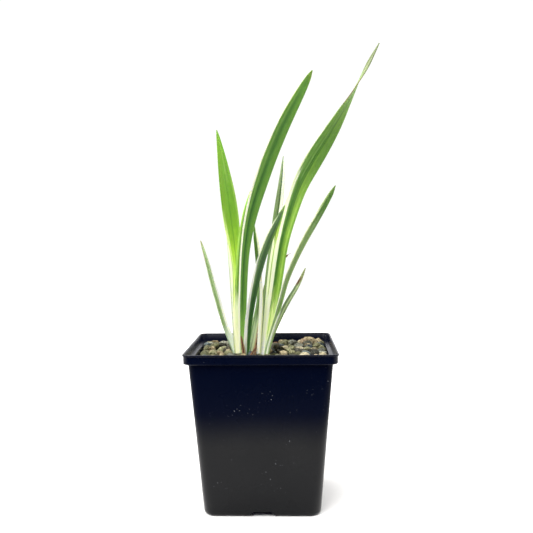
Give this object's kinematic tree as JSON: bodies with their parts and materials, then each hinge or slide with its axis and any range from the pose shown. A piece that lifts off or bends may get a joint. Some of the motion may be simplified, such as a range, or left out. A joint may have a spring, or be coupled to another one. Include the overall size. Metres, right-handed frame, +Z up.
{
  "type": "potted iris",
  "caption": "Young variegated iris with sword-shaped, cream-edged leaves, growing through stone grit in a tapered square black nursery pot.",
  "frame": {"origin": "middle of the pot's underside, on the surface that the pot stands on", "axes": "+Z up, along the plant's height; -Y is the side that the leaf fans face, as in the picture; +X to its right, the way the tallest leaf leans"},
  "size_m": [0.1219, 0.09, 0.2886],
  "materials": {
    "black_plastic": "satin black moulded plastic",
    "potting_mix": "damp bark and peat mix",
    "rhizome_skin": "rough tan skin",
    "stone_grit": "matt tan, olive and blue-grey stones",
    "mid_green_leaf": "satin leaf, green with lengthwise darker and cream stripes",
    "bright_green_leaf": "satin leaf, yellow-green, cream at the foot",
    "dark_green_leaf": "satin leaf, dark green with a cream margin",
    "grey_green_leaf": "satin leaf, grey-green with a cream-white margin",
    "cream_leaf": "satin leaf, cream with faint green stripes",
    "dry_leaf": "matt, dry, papery brown leaf"
  },
  "bodies": {
    "root": {"pot": "black_plastic", "potting_mix": "potting_mix", "rhizome": "rhizome_skin", "grit": "stone_grit", "left_fan_tall_leaf": "mid_green_leaf", "left_fan_narrow_leaf": "mid_green_leaf", "left_fan_broad_leaf": "bright_green_leaf", "left_fan_pale_leaf": "cream_leaf", "left_fan_short_leaf": "grey_green_leaf", "middle_fan_leaning_leaf": "dark_green_leaf", "middle_fan_upright_leaf": "dark_green_leaf", "right_fan_tall_leaf": "mid_green_leaf", "right_fan_young_leaf": "bright_green_leaf", "right_fan_rear_leaf": "grey_green_leaf", "right_fan_outer_leaf": "grey_green_leaf", "right_fan_short_leaf": "grey_green_leaf", "right_fan_cream_leaf": "cream_leaf", "right_fan_browned_leaf": "dry_leaf", "dry_sheath_front": "dry_leaf", "dry_sheath_rear": "dry_leaf"}
  },
  "joints": []
}
